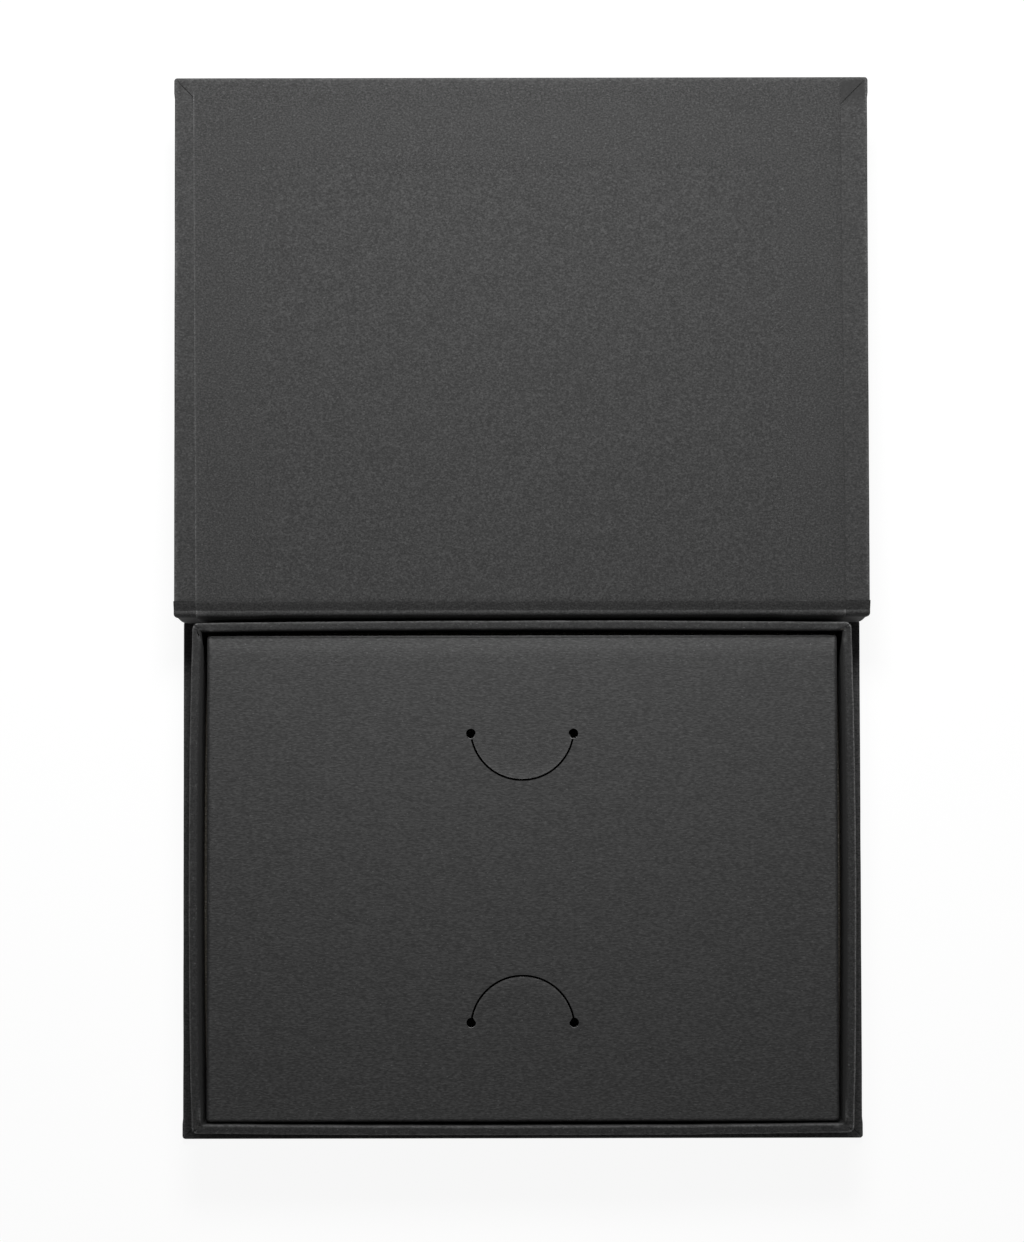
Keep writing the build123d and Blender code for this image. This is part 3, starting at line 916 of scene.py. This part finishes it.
def cutAway(piece, cutters):
    for cutter in cutters:
        cut = piece.modifiers.new("cut", "BOOLEAN")
        cut.operation = "DIFFERENCE"
        cut.solver = "EXACT"
        cut.object = cutter
    bpy.context.view_layer.update()
    graph = bpy.context.evaluated_depsgraph_get()
    mesh = bpy.data.meshes.new_from_object(piece.evaluated_get(graph))
    old = piece.data
    piece.modifiers.clear()
    piece.data = mesh
    bpy.data.meshes.remove(old)
    for cutter in cutters:
        spare = cutter.data
        bpy.data.objects.remove(cutter)
        bpy.data.meshes.remove(spare)


platform = platformPiece(platformSheet)
cutAway(platform, slitCutter(1, platformSheet) + slitCutter(-1, platformSheet))
platform.data.shade_smooth()
platform.data.set_sharp_from_angle(angle=np.radians(40))
settle(platform, "box", "platform_card", "platform_card")


def lipPiece(look):
    # the punch leaves a thin raised lip on the front edge of each stop hole: a crescent, tapered, painted
    # pale as a painted highlight of the lit cut edge
    allPoints, allFaces, start = [], [], 0
    a = np.linspace(-0.86 * pi, -0.14 * pi, 25)[:, None]
    width = look["lipWidth"] * np.clip(np.sin((a / pi + 0.86) / 0.72 * pi), 0.03, 1)
    radius = look["holeRadius"] + width * np.array([[0.0, 0.35, 0.7, 1.0]])
    rise = look["lipRise"] * np.array([[0.4, 1.0, 0.8, 0.1]])
    for side in (1, -1):
        for end in (-1, 1):
            x = end * look["chord"] / 2 + radius * np.cos(a)
            y = rootLine(side) + radius * np.sin(a)
            level = crownLevel(x, y, look)
            grids = [np.stack([x, y, level + w], axis=-1) for w in (rise, -0.1 * mm)]
            points, faces = sheetArrays(grids[0], grids[1])
            allPoints.append(points)
            allFaces.append(faces + start)
            start += len(points)
    points = np.concatenate(allPoints)
    return makePiece("punchedLips", points, np.concatenate(allFaces), platformCard,
                     np.full(len(points), look["lipHighlight"]), sharp=60)


settle(lipPiece(platformSheet), "box", "platform_card")


def tabPiece(name, side, look):
    # ruled between the root line and the arc, lifting a little towards the tip
    rootY = rootLine(side)
    arcX, arcY = tabArc(side, -look["slit"] / 2, 61, look)
    halfRoot = look["chord"] / 2 - look["holeRadius"]
    # round each stop hole the outline steps in, so the arc starts on the hole's edge
    holeX = np.sign(arcX) * look["chord"] / 2
    inside = np.hypot(arcX - holeX, arcY - rootY) < look["holeRadius"]
    arcX = np.where(inside, np.sign(arcX) * halfRoot, arcX)
    arcY = np.where(inside, rootY, arcY)
    rootX = np.clip(arcX, -halfRoot, halfRoot)
    t = np.linspace(0, 1, 24)[None, :]
    x = rootX[:, None] * (1 - t) + arcX[:, None] * t
    y = rootY * (1 - t) + arcY[:, None] * t
    reach = np.abs(y - rootY) / look["tabDepth"]
    z = crownLevel(x, y, look) + look["tabLift"] * reach ** 2
    grids = [np.stack([x, y, z - w], axis=-1) for w in (0, look["card"])]
    points, faces = sheetArrays(grids[0], grids[1])
    # the cut edge is painted a little paler, a painted highlight
    paleEdge = 0.25 * np.exp(-(1 - t) * 9) + 0 * x
    return makePiece(name, points, faces, platformCard, np.concatenate([paleEdge.ravel(), 0 * paleEdge.ravel()]))


upperTab = tabPiece("upperTabCard", 1, platformSheet)
settle(upperTab, "upper_tab", "platform_card", "upper_card_tab")
lowerTab = tabPiece("lowerTabCard", -1, platformSheet)
settle(lowerTab, "lower_tab", "platform_card", "lower_card_tab")
print("platform and tabs ready")


# Floor, lights and camera

def floorMaterial(look):
    # white to camera, glossy and transmission rays, and still darkened a little by the shadow, which
    # the photograph shows only as a breath of grey; all other light meets a plain pale floor
    material, tree = startMaterial("paleFloor")
    path = addNode(tree, "ShaderNodeLightPath")
    seen = addNode(tree, "ShaderNodeMath", {
        0: path.outputs["Is Camera Ray"], 1: path.outputs["Is Glossy Ray"],
    }, operation="MAXIMUM").outputs[0]
    seen = addNode(tree, "ShaderNodeMath", {0: seen, 1: path.outputs["Is Transmission Ray"]},
                   operation="MAXIMUM").outputs[0]
    matt = addNode(tree, "ShaderNodeBsdfDiffuse", {"Color": toLinear(look["colour"])}).outputs["BSDF"]
    faint = addNode(tree, "ShaderNodeBsdfDiffuse", {"Color": toLinear(look["faint"])}).outputs["BSDF"]
    glow = addNode(tree, "ShaderNodeEmission", {"Color": (1, 1, 1, 1), "Strength": look["glow"]}).outputs[0]
    both = addNode(tree, "ShaderNodeAddShader", {0: faint, 1: glow}).outputs[0]
    mixed = addNode(tree, "ShaderNodeMixShader", {0: seen, 1: matt, 2: both}).outputs[0]
    addNode(tree, "ShaderNodeOutputMaterial", {"Surface": mixed})
    return material


floorLook = dict(colour="#E4E4E4", faint="#6C6C6C", glow=0.92, size=6.0,
                 drop=0.05 * mm)  # a hair under the base, so that two flat faces don't share one plane


def makeFloor(look):
    half = look["size"] / 2
    drop = -look["drop"]
    points = np.array([[-half, -half, drop], [half, -half, drop], [half, half, drop], [-half, half, drop]])
    floor = makePiece("floor", points, np.array([[0, 1, 2, 3]]), floorMaterial(look))


makeFloor(floorLook)

lamps = dict(
    key=dict(place=(0.0, 0.26, 0.40), aim=(0, 0.20, 0), size=0.14, power=0.62, spread=110),
    fill=dict(place=(0.05, -0.10, 0.75), aim=(0, 0.03, 0), size=0.70, power=0.12, spread=180),
)


def makeLamp(name, look):
    data = bpy.data.lights.new(name, "AREA")
    data.shape = "DISK"
    data.size = look["size"]
    data.energy = look["power"]
    data.spread = np.radians(look["spread"])
    lamp = bpy.data.objects.new(name, data)
    place = np.array(look["place"])
    back = place - np.array(look["aim"])
    back = back / np.linalg.norm(back)
    side = np.cross((0, 1, 0.001), back)
    side = side / np.linalg.norm(side)
    up = np.cross(back, side)
    turned = Matrix([[side[0], up[0], back[0]], [side[1], up[1], back[1]], [side[2], up[2], back[2]]])
    lamp.matrix_world = Matrix.Translation(place.tolist()) @ turned.to_4x4()
    bpy.context.scene.collection.objects.link(lamp)


for lampName, lampLook in lamps.items():
    makeLamp(lampName, lampLook)

world = bpy.data.worlds.new("softRoom")
bpy.context.scene.world = world
world.use_nodes = True
world.node_tree.nodes["Background"].inputs["Color"].default_value = (1, 1, 1, 1)
world.node_tree.nodes["Background"].inputs["Strength"].default_value = 0.06

view = dict(place=(-0.00187, 0.02156, 0.7139), tilt=2.212, roll=0.108, focalPixels=3682.7, frameHeight=1242,
            sensor=36.0)


def makeCamera(look):
    data = bpy.data.cameras.new("overhead")
    data.sensor_width = look["sensor"]
    data.lens = look["focalPixels"] * look["sensor"] / look["frameHeight"]
    data.clip_start = 0.01
    camera = bpy.data.objects.new("overhead", data)
    tilt = Matrix.Rotation(np.radians(look["tilt"]), 4, "X")
    roll = Matrix.Rotation(-np.radians(look["roll"]), 4, "Z")
    camera.matrix_world = Matrix.Translation(look["place"]) @ tilt @ roll
    bpy.context.scene.collection.objects.link(camera)
    bpy.context.scene.camera = camera


makeCamera(view)
bpy.context.scene.view_settings.view_transform = "Standard"
print("stage ready")
